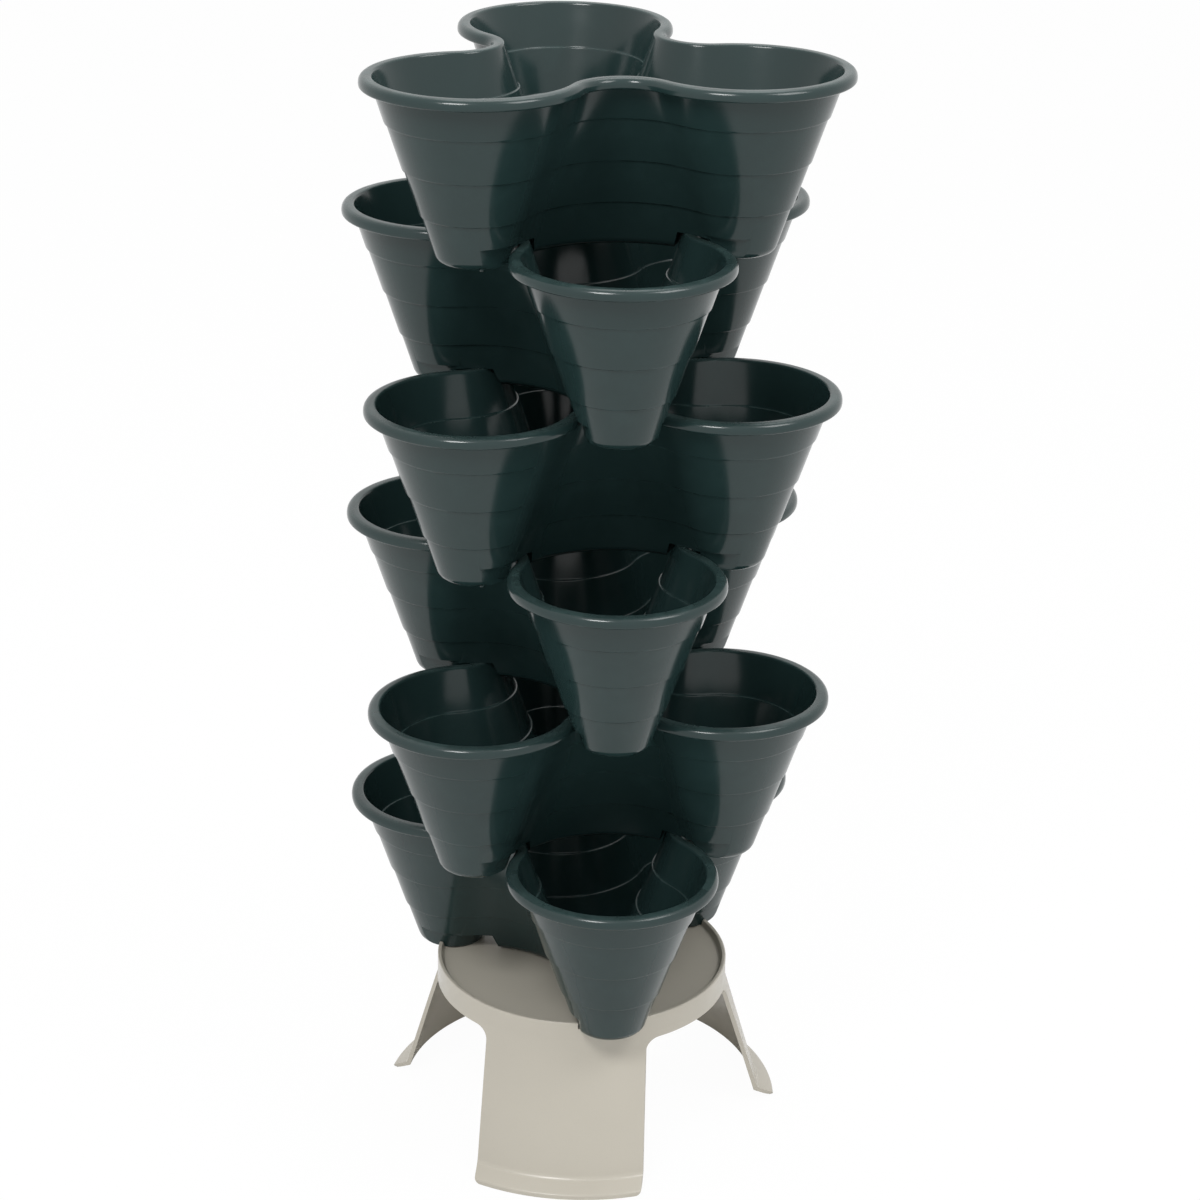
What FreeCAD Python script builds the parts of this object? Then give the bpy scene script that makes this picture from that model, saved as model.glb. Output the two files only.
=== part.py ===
import FreeCAD, Part
import math
import os
import Sketcher

# A vertical planter tower: six three-cup pots stacked on a three-legged stand.
# Millimetres, +Z up. The origin lies on the floor, on the tower's axis. The bottom pot
# points one of its cups along -Y, and every second pot is turned by half the angle
# between two cups, so that its arms cross the valleys of the pot below.

TIERS = 6
CUPS = 3
LEGS = 3
DRAINS = 6
RIBS = 6
FIRST_CUP = 270.0
CUP_ANGLE = 360.0 / CUPS

# The rounded edges of an arm's two sides take up to this share of its narrow neck.
NECK_SHARE = 0.85

# The driving sizes, each under the name that the expressions below use.
SIZES = {
    # Outline of a pot, seen from above
    "cup_reach": (110.0, "from the tower's axis to the middle of a cup"),
    "rim_radius": (80.0, "outside of the lip round a cup"),
    "valley_reach": (80.0, "from the axis to the outside of the lip, in the valley between two cups"),
    "base_radius": (26.3, "outside of the base round a cup"),
    "base_valley": (26.3, "from the axis to the outside of the base, in a valley"),
    # Side of a pot
    "pot_height": (133.0, "from the base to the top of the lip"),
    "lip_depth": (8.0, "height of the lip"),
    "lip_overhang": (9.2, "how far the lip stands out over the wall"),
    "lip_wall": (2.5, "thickness of the lip, which is hollow underneath"),
    "lip_round": (1.2, "rounding of the lip's top edges"),
    "lip_under": (0.8, "rounding of the lip's lower edges"),
    "lowest_band": (34.5, "height of the lowest of the four bands below the lip"),
    "second_band": (33.0, "height of the band above it"),
    "third_band": (33.0, "height of the next band, which leaves the rest to the top band"),
    "step": (1.2, "how far each band stands out over the band below"),
    "wall": (2.5, "thickness of the walls, measured level"),
    "pot_floor": (3.0, "thickness of the base and of the raised floors"),
    "base_round": (8.0, "rounding of the base's outer edge"),
    "inside_round": (6.0, "rounding between the walls and the floor inside"),
    # Saddles, which sit astride the lip of the pot below
    "saddle_height": (14.0, "from the base up to the saddle's seat"),
    "saddle_play": (1.0, "room between a saddle's sides and the lip of the pot below"),
    "saddle_draft": (18.0, "lean of the saddle's sides, in degrees"),
    # Drain holes in the hub, and the drip nubs at the cups' feet
    "drain_radius": (3.0, "radius of a drain hole"),
    "drain_circle": (14.0, "radius of the ring of drain holes"),
    "nub_radius": (1.8, "radius of a drip nub"),
    "nub_drop": (2.5, "how far a nub hangs below the base"),
    "nub_reach": (7.0, "from the middle of a cup outwards to its nub"),
    "nub_offset": (17.0, "from a cup's middle plane to its nub"),
    # Disc of the stand
    "stand_height": (131.0, "from the floor to the top of the disc's rim"),
    "disc_radius": (115.0, "outside of the disc and of the band"),
    "notch_play": (1.0, "room between the disc's rim and the feet of the bottom pot"),
    "recess": (5.0, "depth of the disc's recess"),
    "disc_rim": (3.0, "thickness of the rim at its top"),
    "rim_slope": (2.0, "how far the recess narrows towards its floor"),
    "rim_round": (1.0, "rounding of the rim's top edges"),
    "plate": (3.0, "thickness of the disc's plate"),
    "band": (20.0, "height of the band round the disc"),
    "rib_depth": (9.0, "depth of the ribs under the plate"),
    "rib_width": (2.5, "thickness of the ribs"),
    "rib_ring": (62.0, "radius of the ring rib"),
    # Legs of the stand
    "skin": (3.0, "thickness of the band and of the legs"),
    "leg_lean": (29.4, "how far a leg flares out above its foot"),
    "leg_bend": (40.0, "radius where the band turns into a leg"),
    "foot_height": (11.0, "height of the kicked-out foot"),
    "foot_kick": (13.0, "how far the foot kicks out"),
    "foot_lip": (3.5, "height of the foot's upright edge"),
    "foot_bend": (6.0, "radius where a leg turns into its foot"),
    "leg_width": (124.0, "width of a leg under the band"),
    "foot_width": (130.0, "width of a leg at the floor"),
    "leg_corner": (9.0, "rounding between the band and a leg's side"),
    "foot_corner": (5.0, "rounding of a foot's corners"),
    "stand_turn": (-18.0, "turn of the first leg from the bottom pot's first cup, in degrees"),
}

doc = FreeCAD.newDocument("planter_tower")
sheet = doc.addObject("Spreadsheet::Sheet", "Sizes")
for row, (alias, (size, meaning)) in enumerate(SIZES.items(), start=1):
    sheet.set(f"A{row}", meaning)
    sheet.set(f"B{row}", str(size))
    sheet.setAlias(f"B{row}", alias)
doc.recompute()

# The sketcher's own numbers for a sketch's origin and axes, and for the points of a curve.
ORIGIN = (-1, 1)
X_AXIS = -1
Y_AXIS = -2
START, END, MIDDLE = range(1, 4)
UP = FreeCAD.Vector(0, 0, 1)


def value(expression):
    """The number that an expression on the sheet's cells comes to."""
    result = sheet.evalExpression(expression)
    return float(getattr(result, "Value", result))


def new_body(name):
    return doc.addObject("PartDesign::Body", name)


def new_sketch(body, name, plane, level="0"):
    """A sketch on one of the body's own origin planes, moved along its normal by level."""
    sketch = body.newObject("Sketcher::SketchObject", name)
    support = next(item for item in body.Origin.OriginFeatures if item.Role == plane)
    sketch.AttachmentSupport = (support, [""])
    sketch.MapMode = "FlatFace"
    sketch.setExpression("AttachmentOffset.Base.z", level)
    return sketch


def drive(sketch, kind, references, expression):
    """A dimension of the sketch, bound to an expression on the sheet."""
    index = sketch.addConstraint(Sketcher.Constraint(kind, *references, value(expression)))
    sketch.setExpression(f"Constraints[{index}]", expression)


def pin(sketch, geometry, point, x, y):
    """Holds a point of the sketch at the place that two expressions give."""
    for kind, place, axis in (("DistanceX", x, Y_AXIS), ("DistanceY", y, X_AXIS)):
        distance = value(place)
        if abs(distance) < 1e-9:
            sketch.addConstraint(Sketcher.Constraint("PointOnObject", geometry, point, axis))
        elif distance > 0:
            drive(sketch, kind, (*ORIGIN, geometry, point), place)
        else:
            drive(sketch, kind, (geometry, point, *ORIGIN), f"-({place})")


def draw_circle(sketch, x, y, radius):
    """A circle of the sketch, with its middle at the place that two expressions give."""
    circle = Part.Circle(FreeCAD.Vector(value(x), value(y), 0), UP, value(radius))
    circle = sketch.addGeometry(circle)
    pin(sketch, circle, MIDDLE, x, y)
    drive(sketch, "Radius", (circle,), radius)


def outline(sketch, corners):
    """A closed outline through (x, y, radius) corners, given as expressions.

    A radius of None leaves the corner sharp.
    """
    places = [FreeCAD.Vector(value(x), value(y), 0) for x, y, radius in corners]
    count = len(places)
    ends = []
    for index, (x, y, radius) in enumerate(corners):
        here = places[index]
        back = (places[index - 1] - here).normalize()
        ahead = (places[(index + 1) % count] - here).normalize()
        if radius is None:
            ends.append((here, here, None))
            continue
        size = value(radius)
        half = back.getAngle(ahead) / 2
        reach = size / math.tan(half)
        middle = here + (back + ahead).normalize() * (size / math.sin(half))
        ends.append((here + back * reach, here + ahead * reach, middle))
    points = []
    for place, (x, y, radius) in zip(places, corners):
        point = sketch.addGeometry(Part.Point(place), True)
        pin(sketch, point, START, x, y)
        points.append(point)
    lines = []
    for index in range(count):
        follower = (index + 1) % count
        lines.append(sketch.addGeometry(Part.LineSegment(ends[index][1], ends[follower][0])))
    for index, (x, y, radius) in enumerate(corners):
        before, after = lines[index - 1], lines[index]
        if radius is None:
            sketch.addConstraint(Sketcher.Constraint("Coincident", before, END, points[index], START))
            sketch.addConstraint(Sketcher.Constraint("Coincident", after, START, points[index], START))
            continue
        sketch.addConstraint(Sketcher.Constraint("PointOnObject", points[index], START, before))
        sketch.addConstraint(Sketcher.Constraint("PointOnObject", points[index], START, after))
        entry, leave, middle = ends[index]
        turns_left = (entry - middle).cross(leave - middle).z > 0
        first, last = (entry, leave) if turns_left else (leave, entry)
        circle = Part.Circle(middle, UP, value(radius))
        arc = Part.ArcOfCircle(circle, circle.parameter(first), circle.parameter(last))
        arc = sketch.addGeometry(arc)
        entry_end, leave_end = (START, END) if turns_left else (END, START)
        sketch.addConstraint(Sketcher.Constraint("Tangent", before, END, arc, entry_end))
        sketch.addConstraint(Sketcher.Constraint("Tangent", arc, leave_end, after, START))
        drive(sketch, "Radius", (arc,), radius)


def check_sketch(sketch):
    """Solves the sketch, which has to be fully held by its dimensions."""
    if sketch.solve() != 0:
        raise RuntimeError(f"{sketch.Label} can't be solved")


def pad(body, name, sketch, length, both_ways=False, reverse=False):
    feature = body.newObject("PartDesign::Pad", name)
    feature.Profile = sketch
    feature.SideType = "Symmetric" if both_ways else "One side"
    feature.Reversed = reverse
    feature.setExpression("Length", length)
    return feature


def pocket(body, name, sketch, length, both_ways=False, reverse=False):
    feature = body.newObject("PartDesign::Pocket", name)
    feature.Profile = sketch
    feature.SideType = "Symmetric" if both_ways else "One side"
    feature.Reversed = reverse
    feature.setExpression("Length", length)
    return feature


def around(body, name, feature, count):
    """Repeats a feature round the body's Z axis."""
    pattern = body.newObject("PartDesign::PolarPattern", name)
    pattern.Originals = [feature]
    axis = next(item for item in body.Origin.OriginFeatures if item.Role == "Z_Axis")
    pattern.Axis = (axis, [""])
    pattern.Angle = 360
    pattern.Occurrences = count
    body.Tip = pattern
    return pattern


def round_level_edges(body, name, level, radius):
    """Rounds all the edges of the body that lie at one level."""
    doc.recompute()
    base = body.Tip
    height = value(level)
    names = [
        f"Edge{index}"
        for index, edge in enumerate(base.Shape.Edges, start=1)
        if abs(edge.BoundBox.ZMin - height) < 1e-4 and abs(edge.BoundBox.ZMax - height) < 1e-4
    ]
    fillet = body.newObject("PartDesign::Fillet", name)
    fillet.Base = (base, names)
    fillet.setExpression("Radius", radius)
    return fillet


# Outline of a pot. Three cup arcs are joined by three hollow arcs, the valleys, which run into
# them without a corner. The cups' radius and the distance from the axis to the outline in a
# valley give the radius of the valley's arc.
def valley_arc(cup_radius, valley_reach):
    """Radius of the hollow arc between two cups, as an expression."""
    return (
        f"((({valley_reach}) ^ 2 - ({valley_reach}) * Sizes.cup_reach + Sizes.cup_reach ^ 2"
        f" - ({cup_radius}) ^ 2) / (2 * ({cup_radius}) - 2 * ({valley_reach}) + Sizes.cup_reach))"
    )


def neck(cup_radius, valley_reach):
    """Half the width of an arm where it is narrowest, between two valleys."""
    radius = valley_arc(cup_radius, valley_reach)
    return f"(({valley_reach} + {radius}) * sin({CUP_ANGLE / 2}) - {radius})"


def pot_outline(body, name, level, cup_radius, valley_reach, turn=0):
    """A sketch of a pot's outline at a level. The first cup is along +X, or turned from it."""
    sketch = new_sketch(body, name, "XY_Plane", level)
    valley_radius = valley_arc(cup_radius, valley_reach)

    def direction(degrees):
        return FreeCAD.Vector(math.cos(math.radians(degrees)), math.sin(math.radians(degrees)), 0)

    cup_centre = value("Sizes.cup_reach")
    valley_centre = value(f"{valley_reach} + {valley_radius}")
    cup_angles = [CUP_ANGLE * cup + turn for cup in range(CUPS)]
    cup_centres = [direction(angle) * cup_centre for angle in cup_angles]
    valley_centres = [direction(angle + CUP_ANGLE / 2) * valley_centre for angle in cup_angles]
    cups = []
    valleys = []
    for cup in range(CUPS):
        circle = Part.Circle(cup_centres[cup], UP, value(cup_radius))
        first = circle.parameter(valley_centres[cup - 1])
        last = circle.parameter(valley_centres[cup])
        cups.append(sketch.addGeometry(Part.ArcOfCircle(circle, first, last)))
        circle = Part.Circle(valley_centres[cup], UP, value(valley_radius))
        first = circle.parameter(cup_centres[(cup + 1) % CUPS])
        last = circle.parameter(cup_centres[cup])
        valleys.append(sketch.addGeometry(Part.ArcOfCircle(circle, first, last)))
    for cup in range(CUPS):
        follower = (cup + 1) % CUPS
        angle = cup_angles[cup]
        pin(sketch, cups[cup], MIDDLE, f"Sizes.cup_reach * cos({angle})", f"Sizes.cup_reach * sin({angle})")
        sketch.addConstraint(Sketcher.Constraint("Tangent", cups[cup], END, valleys[cup], END))
        sketch.addConstraint(Sketcher.Constraint("Tangent", valleys[cup], START, cups[follower], START))
        drive(sketch, "Radius", (cups[cup],), cup_radius)
        drive(sketch, "Radius", (valleys[cup],), valley_radius)
    check_sketch(sketch)
    return sketch


# Side of a pot. Four bands, which all lean alike, make up the wall, and the top one carries on
# up inside the lip. Each band starts one step further in than the band above it ends.
LIP_BOTTOM = "(Sizes.pot_height - Sizes.lip_depth)"
STEP_LEVELS = [
    "(Sizes.lowest_band + Sizes.second_band + Sizes.third_band)",
    "(Sizes.lowest_band + Sizes.second_band)",
    "Sizes.lowest_band",
]
STEPS = len(STEP_LEVELS)


def band_side(at_lip, at_base, level, band):
    """How far a band's outside lies from its centre at a level, in the cups or in the valleys."""
    lean = f"({at_lip} - Sizes.lip_overhang - {STEPS} * Sizes.step - {at_base}) / {LIP_BOTTOM}"
    return f"({at_base} + {level} * {lean} + {STEPS - band} * Sizes.step)"


def band_sides(level, band, thickness):
    """A band's cup radius and its reach in the valleys at a level, drawn in by a thickness."""
    return (
        f"({band_side('Sizes.rim_radius', 'Sizes.base_radius', level, band)} - {thickness})",
        f"({band_side('Sizes.valley_reach', 'Sizes.base_valley', level, band)} - {thickness})",
    )


def loft_bands(body, mouth, floor, thickness):
    """The four bands from the mouth to the floor, drawn in by a thickness, as straight-sided lofts."""
    levels = [mouth] + STEP_LEVELS + [floor]
    for band, (top, bottom) in enumerate(zip(levels, levels[1:])):
        name = f"{body.Label}_band_{band}"
        loft = body.newObject("PartDesign::AdditiveLoft", name)
        loft.Profile = pot_outline(body, f"{name}_top", top, *band_sides(top, band, thickness))
        loft.Sections = [pot_outline(body, f"{name}_bottom", bottom, *band_sides(bottom, band, thickness))]
        loft.Ruled = True


def round_floor(body, name, level, radius, thickness):
    """Rounds the lowest edge of the bands, by no more than the arms' narrow necks allow."""
    room = neck(*band_sides(level, STEPS, thickness))
    round_level_edges(body, name, level, f"min({radius}; {NECK_SHARE} * {room})")


def pot_outside():
    """The pot as if it were solid."""
    body = new_body("pot_outside")
    lip = pot_outline(body, "lip_outline", LIP_BOTTOM, "Sizes.rim_radius", "Sizes.valley_reach")
    pad(body, "lip", lip, "Sizes.lip_depth")
    hollow = pot_outline(
        body, "lip_hollow_outline", LIP_BOTTOM,
        "Sizes.rim_radius - Sizes.lip_wall", "Sizes.valley_reach - Sizes.lip_wall",
    )
    pocket(body, "lip_hollow", hollow, "Sizes.lip_depth - Sizes.lip_wall", reverse=True)
    round_level_edges(body, "lip_under", LIP_BOTTOM, "Sizes.lip_under")
    loft_bands(body, "(Sizes.pot_height - Sizes.lip_wall / 2)", "0", "0")
    round_floor(body, "base_edge", "0", "Sizes.base_round", "0")
    return body


# Saddles. Each arm's underside is cut away between the hub and the round foot of its cup, so
# that the arm sits astride the lip of the pot below, in its valley.
HUB_REACH = band_sides("Sizes.pot_height", 0, "Sizes.wall")[1]


def hub_outline(body, name, level, reach):
    """A sketch at a level whose straight sides cross the arms at a reach from the axis."""
    sketch = new_sketch(body, name, "XY_Plane", level)
    half = CUP_ANGLE / 2
    corners = []
    for cup in range(CUPS):
        x, y = (f"{reach} / cos({half}) * {part}({CUP_ANGLE * cup + half})" for part in ("cos", "sin"))
        corners.append((x, y, None))
    outline(sketch, corners)
    check_sketch(sketch)
    return sketch


def saddle_room(name, height, thickness):
    """Room for the lip of the pot below, up to a height and grown by a thickness.

    Outside it has that lip's outline and inside it leaves the hub, both with the play, and it
    opens out towards the base.
    """
    body = new_body(name)
    outsides = []
    insides = []
    for level in (height, "-Sizes.nub_drop"):
        drop = f"(Sizes.saddle_height - ({level}))"
        spread = f"(Sizes.saddle_play + {thickness} + {drop} * tan(Sizes.saddle_draft))"
        place = f"{name}_{len(outsides)}"
        cup_radius, valley_reach = f"(Sizes.rim_radius + {spread})", f"(Sizes.valley_reach + {spread})"
        outsides.append(
            pot_outline(body, f"{place}_outside", level, cup_radius, valley_reach, CUP_ANGLE / 2)
        )
        insides.append(hub_outline(body, f"{place}_inside", level, f"({HUB_REACH} - {spread})"))
    for kind, sketches in (("Additive", outsides), ("Subtractive", insides)):
        loft = body.newObject(f"PartDesign::{kind}Loft", f"{name}_{kind.lower()}")
        loft.Profile = sketches[0]
        loft.Sections = [sketches[1]]
        loft.Ruled = True
    return body


def pot_inside():
    """The room inside the pot, as if it had no saddles."""
    body = new_body("pot_inside")
    loft_bands(body, "(Sizes.pot_height + Sizes.lip_wall)", "Sizes.pot_floor", "Sizes.wall")
    round_floor(body, "floor_edge", "Sizes.pot_floor", "Sizes.inside_round", "Sizes.wall")
    return body


def cut_away(name, base, tool):
    """What stays of a base when a tool is taken away from it."""
    rest = doc.addObject("Part::Cut", name)
    rest.Base = base
    rest.Tool = tool
    return rest


def pot_pattern():
    """One finished pot, which all the tiers repeat."""
    saddles = saddle_room("saddles", "Sizes.saddle_height", "0")
    raised_floors = saddle_room("raised_floors", "(Sizes.saddle_height + Sizes.pot_floor)", "Sizes.wall")
    astride = cut_away("pot_astride", pot_outside(), saddles)
    hollow = cut_away("pot_hollow", pot_inside(), raised_floors)
    shell = cut_away("pot_shell", astride, hollow)
    doc.recompute()
    body = new_body("pot")
    body.BaseFeature = shell
    round_level_edges(body, "lip_top", "Sizes.pot_height", "Sizes.lip_round")
    hole = new_sketch(body, "drain_place", "XY_Plane")
    turn = 180 / DRAINS
    x, y = (f"Sizes.drain_circle * {part}({turn})" for part in ("cos", "sin"))
    draw_circle(hole, x, y, "Sizes.drain_radius")
    cut = pocket(body, "drain", hole, "2 * Sizes.pot_floor", both_ways=True)
    around(body, "drains", cut, DRAINS)
    peg = new_sketch(body, "nub_place", "XY_Plane", "-Sizes.nub_drop")
    draw_circle(peg, "Sizes.cup_reach + Sizes.nub_reach", "Sizes.nub_offset", "Sizes.nub_radius")
    nub = pad(body, "nub", peg, "Sizes.nub_drop + Sizes.pot_floor / 2")
    around(body, "nubs", nub, CUPS)
    return body


# Stand. A disc with a shallow recess and a band round it, and three legs that carry on from
# the band. The legs are cut out of one flared skirt. The disc's rim has a notch for each foot of
# the bottom pot.
BAND_BOTTOM = "(Sizes.stand_height - Sizes.band)"
PLATE_TOP = "(Sizes.stand_height - Sizes.recess)"
PLATE_BOTTOM = f"({PLATE_TOP} - Sizes.plate)"
FOOT_RADIUS = "(Sizes.disc_radius + Sizes.leg_lean + Sizes.foot_kick)"


def stand_shell():
    """The disc, the band and the whole skirt, turned about the axis, with ribs under the disc."""
    body = new_body("stand_shell")
    profile = new_sketch(body, "stand_profile", "XZ_Plane")
    inner_radius = "(Sizes.disc_radius - Sizes.skin)"
    outline(profile, [
        ("0", PLATE_BOTTOM, None),
        (inner_radius, PLATE_BOTTOM, None),
        (inner_radius, BAND_BOTTOM, "Sizes.leg_bend + Sizes.skin"),
        (f"{inner_radius} + Sizes.leg_lean", "Sizes.foot_height - Sizes.skin / 2", None),
        (f"{FOOT_RADIUS} - Sizes.skin", "Sizes.foot_lip / 2", None),
        (f"{FOOT_RADIUS} - Sizes.skin", "0", None),
        (FOOT_RADIUS, "0", None),
        (FOOT_RADIUS, "Sizes.foot_lip", "Sizes.foot_lip / 2"),
        ("Sizes.disc_radius + Sizes.leg_lean", "Sizes.foot_height", "Sizes.foot_bend"),
        ("Sizes.disc_radius", BAND_BOTTOM, "Sizes.leg_bend"),
        ("Sizes.disc_radius", "Sizes.stand_height", "Sizes.rim_round"),
        ("Sizes.disc_radius - Sizes.disc_rim", "Sizes.stand_height", "Sizes.rim_round"),
        ("Sizes.disc_radius - Sizes.disc_rim - Sizes.rim_slope", PLATE_TOP, "Sizes.rim_slope"),
        ("0", PLATE_TOP, None),
    ])
    check_sketch(profile)
    turned = body.newObject("PartDesign::Revolution", "skirt")
    turned.Profile = profile
    turned.ReferenceAxis = (profile, ["V_Axis"])
    turned.Angle = 360
    notch = new_sketch(body, "notch_outline", "XY_Plane", PLATE_TOP)
    foot_radius, _ = band_sides("Sizes.recess", STEPS, "0")
    x, y = "Sizes.cup_reach * cos(Sizes.stand_turn)", "-Sizes.cup_reach * sin(Sizes.stand_turn)"
    draw_circle(notch, x, y, f"({foot_radius} + Sizes.notch_play)")
    cut = pocket(body, "notch", notch, "2 * Sizes.recess", reverse=True)
    around(body, "notches", cut, CUPS)
    ring = new_sketch(body, "ring_rib_outline", "XY_Plane", PLATE_BOTTOM)
    for side in ("-", "+"):
        draw_circle(ring, "0", "0", f"Sizes.rib_ring {side} Sizes.rib_width / 2")
    pad(body, "ring_rib", ring, "Sizes.rib_depth", reverse=True)
    spoke = new_sketch(body, "rib_outline", "XY_Plane", PLATE_BOTTOM)
    reach = "Sizes.disc_radius - Sizes.skin / 2"
    outline(spoke, [
        ("0", "-Sizes.rib_width / 2", None),
        (reach, "-Sizes.rib_width / 2", None),
        (reach, "Sizes.rib_width / 2", None),
        ("0", "Sizes.rib_width / 2", None),
    ])
    rib = pad(body, "rib", spoke, "Sizes.rib_depth", reverse=True)
    around(body, "ribs", rib, RIBS)
    return body


def stand_limits():
    """What stays of the skirt: all of the band, and a leg under it at each third of a turn."""
    body = new_body("stand_limits")
    front = new_sketch(body, "leg_outline", "YZ_Plane")
    half_leg, half_foot = "Sizes.leg_width / 2", "Sizes.foot_width / 2"
    side, top = FOOT_RADIUS, "Sizes.stand_height + Sizes.rim_round"
    outline(front, [
        (f"-({half_foot})", "0", "Sizes.foot_corner"),
        (half_foot, "0", "Sizes.foot_corner"),
        (half_leg, BAND_BOTTOM, "Sizes.leg_corner"),
        (side, BAND_BOTTOM, None),
        (side, top, None),
        (f"-({side})", top, None),
        (f"-({side})", BAND_BOTTOM, None),
        (f"-({half_leg})", BAND_BOTTOM, "Sizes.leg_corner"),
    ])
    check_sketch(front)
    leg = pad(body, "leg", front, f"{FOOT_RADIUS} + Sizes.skin")
    around(body, "legs", leg, LEGS)
    return body


def stand():
    whole = doc.addObject("Part::Common", "stand")
    whole.Base = stand_shell()
    whole.Tool = stand_limits()
    whole.Label = "three_legged_stand"
    turn = FIRST_CUP + value("Sizes.stand_turn")
    whole.Placement = FreeCAD.Placement(FreeCAD.Vector(), FreeCAD.Rotation(UP, turn))
    return whole


def pot_tier(tier, pot):
    """A copy of the pot, turned and lifted to its place in the tower. Tiers count from 1."""
    body = new_body(f"tier_{tier}")
    body.Label = f"pot_tier_{tier}"
    body.BaseFeature = pot
    turn = FIRST_CUP + CUP_ANGLE / 2 * (tier - 1)
    body.Placement = FreeCAD.Placement(FreeCAD.Vector(), FreeCAD.Rotation(UP, turn))
    rise = f"{PLATE_TOP} + {tier - 1} * (Sizes.pot_height - Sizes.saddle_height)"
    body.setExpression("Placement.Base.z", rise)
    return body


def build():
    pot = pot_pattern()
    pieces = [stand()] + [pot_tier(tier, pot) for tier in range(1, TIERS + 1)]
    doc.recompute()
    for item in doc.Objects:
        if "Invalid" in item.State or "Error" in item.State:
            raise RuntimeError(f"{item.Label} failed: {item.State}")
    for piece in pieces:
        if piece.Shape.isNull() or not piece.Shape.isValid():
            raise RuntimeError(f"{piece.Label} has no valid shape")
    os.makedirs("parts", exist_ok=True)
    for piece in pieces:
        piece.Shape.exportStep(f"parts/{piece.Label}.step")
        box = piece.Shape.optimalBoundingBox(False, False)
        print(f"{piece.Label}: {len(piece.Shape.Solids)} solid, {piece.Shape.Volume / 1000:.1f} cm3, "
              f"{box.XLength:.1f} x {box.YLength:.1f} x {box.ZLength:.1f} mm from {box.ZMin:.1f} mm up")


build()
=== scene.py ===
"""Looks of a vertical planter tower.

Six dark green trefoil pots are stacked on a stone-coloured stand with three flared legs. Each pot
and the stand is one mesh that takes the place of its solid in the frame. Lengths are in metres,
+Z is up, and the tower's axis is the frame's Z axis.
"""

import logging
from dataclasses import dataclass, field
from enum import Enum

import bmesh
import bpy
import numpy as np
from mathutils import Matrix, Quaternion, Vector


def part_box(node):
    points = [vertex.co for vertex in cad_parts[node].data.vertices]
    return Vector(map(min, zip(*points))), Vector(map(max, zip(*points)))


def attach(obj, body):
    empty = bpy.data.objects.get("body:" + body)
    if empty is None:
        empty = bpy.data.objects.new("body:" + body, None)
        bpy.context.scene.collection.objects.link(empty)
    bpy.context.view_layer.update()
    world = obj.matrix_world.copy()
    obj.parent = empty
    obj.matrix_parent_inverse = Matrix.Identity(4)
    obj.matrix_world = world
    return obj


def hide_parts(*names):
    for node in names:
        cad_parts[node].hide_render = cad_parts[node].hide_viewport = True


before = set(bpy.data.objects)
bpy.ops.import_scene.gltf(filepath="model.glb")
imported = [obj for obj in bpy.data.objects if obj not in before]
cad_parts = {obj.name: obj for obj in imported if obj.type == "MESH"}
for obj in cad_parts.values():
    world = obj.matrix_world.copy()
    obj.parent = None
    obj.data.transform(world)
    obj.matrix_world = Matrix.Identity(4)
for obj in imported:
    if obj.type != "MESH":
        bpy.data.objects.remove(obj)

log = logging.getLogger("planter_tower")
Array = np.ndarray
Mesh = bpy.types.Mesh
Piece = bpy.types.Object
Tree = bpy.types.NodeTree
Socket = bpy.types.NodeSocket

# Angles of a pot's three cups and of the stand's three legs, counted from the piece's first one.
THIRDS = np.array([0.0, 120.0, 240.0])

# The angle from a cup to the valley beside it.
HALF_THIRD = 60.0

WHITE = (1.0, 1.0, 1.0, 1.0)


class Way(Enum):
    """Ways to combine two closed meshes."""

    JOIN = "UNION"
    TAKE_AWAY = "DIFFERENCE"
    KEEP_COMMON = "INTERSECT"


def directions(degrees: Array) -> Array:
    """Unit vectors (cos a, sin a), one row for each angle a in degrees."""
    turn = np.radians(np.asarray(degrees, float))
    return np.stack([np.cos(turn), np.sin(turn)], axis=-1)


def unit(vectors: Array) -> Array:
    """The vectors divided by their own lengths."""
    return vectors / np.linalg.norm(vectors, axis=-1, keepdims=True)


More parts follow.
